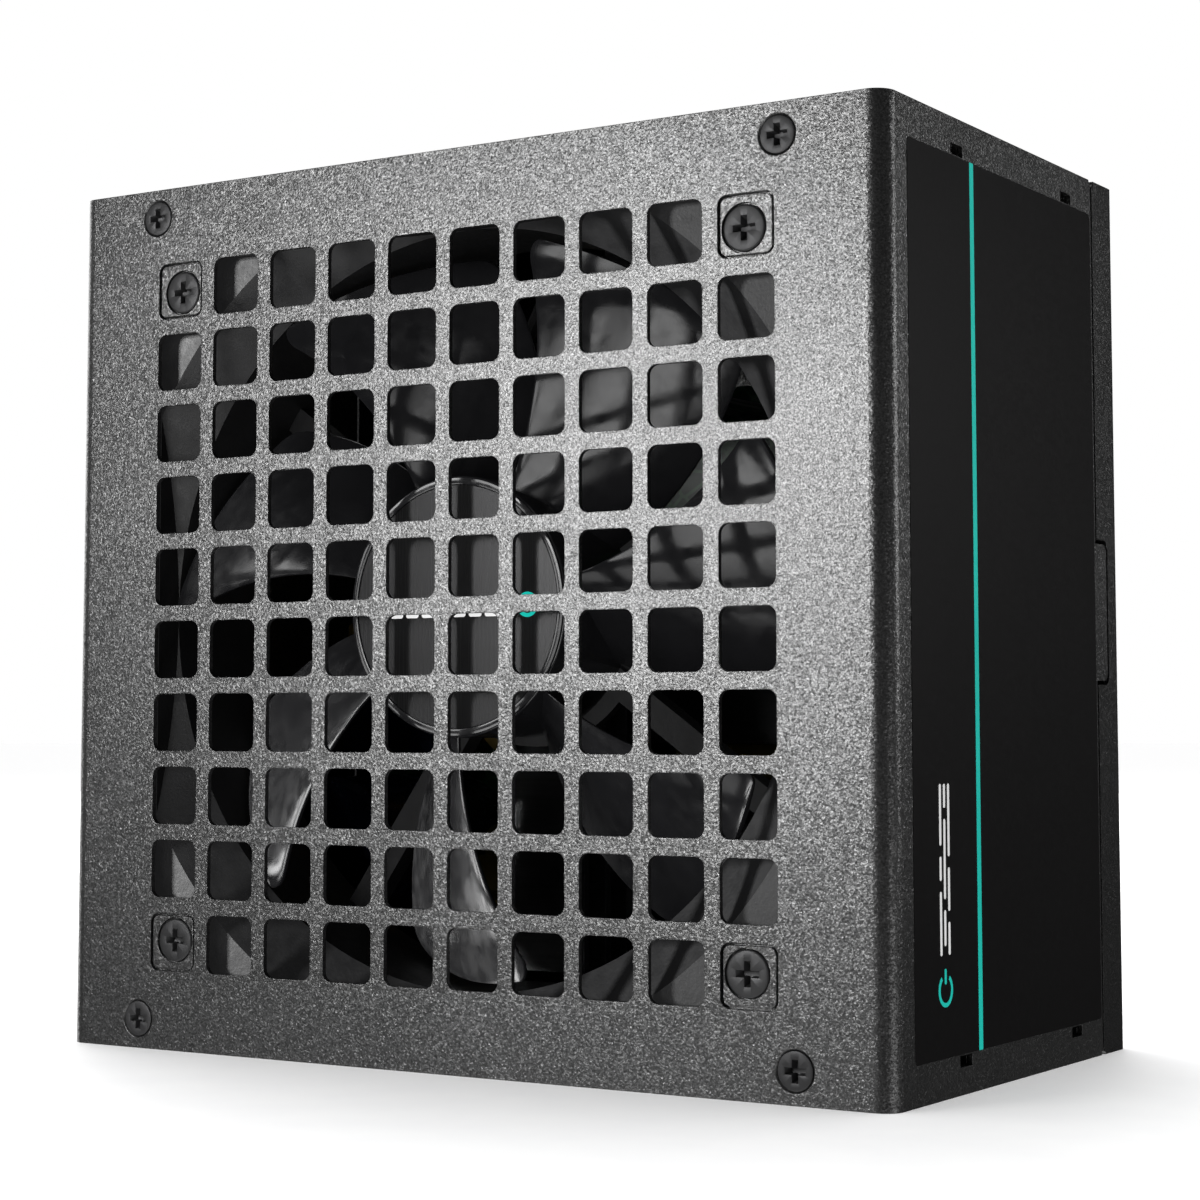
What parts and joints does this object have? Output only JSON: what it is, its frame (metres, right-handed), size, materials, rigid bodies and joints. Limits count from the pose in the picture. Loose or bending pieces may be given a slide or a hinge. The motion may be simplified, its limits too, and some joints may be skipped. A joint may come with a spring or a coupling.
{
  "type": "power supply unit",
  "caption": "Steel-cased computer power supply with a grilled cooling fan, mains inlet, rocker switch, cable outlet and working electronics inside.",
  "frame": {"origin": "middle of the cable end that the case stands on, under the centre of its outline", "axes": "+Z from the cable end up to the mains end, -Y out of the fan face, +X to the right seen from the fan face"},
  "size_m": [0.1502, 0.0861, 0.1441],
  "materials": {
    "powder_coat_cover": "sparkling textured powder coat",
    "powder_coat_base": "textured powder coat",
    "label_film": "satin printed film",
    "black_screw": "black oxide",
    "fan_plastic": "fine spark-eroded texture",
    "blade_plastic": "polished",
    "sticker_film": "brushed satin film",
    "bright_steel": "turned",
    "nylon": "natural nylon",
    "magnet_ferrite": "pressed ferrite",
    "bronze": "turned",
    "copper_wire": "enamelled copper",
    "circuit_board": "solder mask",
    "wire_sleeve": "soft insulation",
    "black_thermoplastic": "moulded",
    "plated_brass": "tin plated",
    "rubber_black": "soft",
    "clear_film": "translucent polyester",
    "fuse_glass": "glass tube with plated caps",
    "green_epoxy": "dipped",
    "yellow_case": "moulded case",
    "blue_epoxy": "dipped",
    "black_epoxy": "moulded epoxy",
    "capacitor_sleeve": "shrink sleeve",
    "blue_case": "moulded case",
    "bare_aluminium": "extruded",
    "yellow_tape": "polyester tape"
  },
  "bodies": {
    "case": {"cover_shell": "powder_coat_cover", "base_chassis": "powder_coat_base", "side_label_right": "label_film", "side_label_left": "label_film", "rating_label": "label_film", "cover_screws": "black_screw", "fan_screws": "black_screw", "fan_frame": "fan_plastic", "fan_bearing": "bronze", "stator_core": "bright_steel", "stator_coils": "copper_wire", "fan_circuit_board": "circuit_board", "fan_lead": "wire_sleeve", "fan_header": "nylon", "inlet_body": "black_thermoplastic", "inlet_pins": "plated_brass", "inlet_screws": "black_screw", "switch_housing": "black_thermoplastic", "switch_terminals": "plated_brass", "mains_wires": "wire_sleeve", "earth_screw": "bright_steel", "cable_grommet": "rubber_black", "main_board": "circuit_board", "board_standoffs": "bronze", "board_screws": "bright_steel", "insulation_sheet": "clear_film", "fuse": "fuse_glass", "inrush_limiter": "green_epoxy", "x_capacitors": "yellow_case", "y_capacitors": "blue_epoxy", "filter_choke_cores": "green_epoxy", "filter_choke_windings": "copper_wire", "bridge_rectifier": "black_epoxy", "pfc_choke_core": "yellow_case", "pfc_choke_winding": "copper_wire", "bulk_capacitor": "capacitor_sleeve", "relay": "blue_case", "primary_heatsink": "bare_aluminium", "primary_transistors": "black_epoxy", "main_transformer_core": "magnet_ferrite", "main_transformer_winding": "yellow_tape", "standby_transformer": "yellow_tape", "secondary_heatsink": "bare_aluminium", "secondary_rectifiers": "black_epoxy", "output_choke_core": "yellow_case", "output_choke_winding": "copper_wire", "output_capacitors": "capacitor_sleeve", "control_board": "circuit_board"},
    "fan_rotor": {"fan_impeller": "blade_plastic", "hub_sticker": "sticker_film", "fan_shaft": "bright_steel", "shaft_clip": "nylon", "rotor_yoke": "bright_steel", "rotor_magnet": "magnet_ferrite"},
    "rocker": {"switch_rocker": "black_thermoplastic"}
  },
  "joints": [
    {"name": "fan_spin", "type": "hinge", "parent": "case", "child": "fan_rotor", "pos_m": [0, -0.025, 0.07], "axis": [0, -1, 0], "continuous": true},
    {"name": "rocker_tilt", "type": "hinge", "parent": "case", "child": "rocker", "pos_m": [0.002, 0.02, 0.139], "axis": [1, 0, 0], "range_deg": [0, 20]}
  ]
}
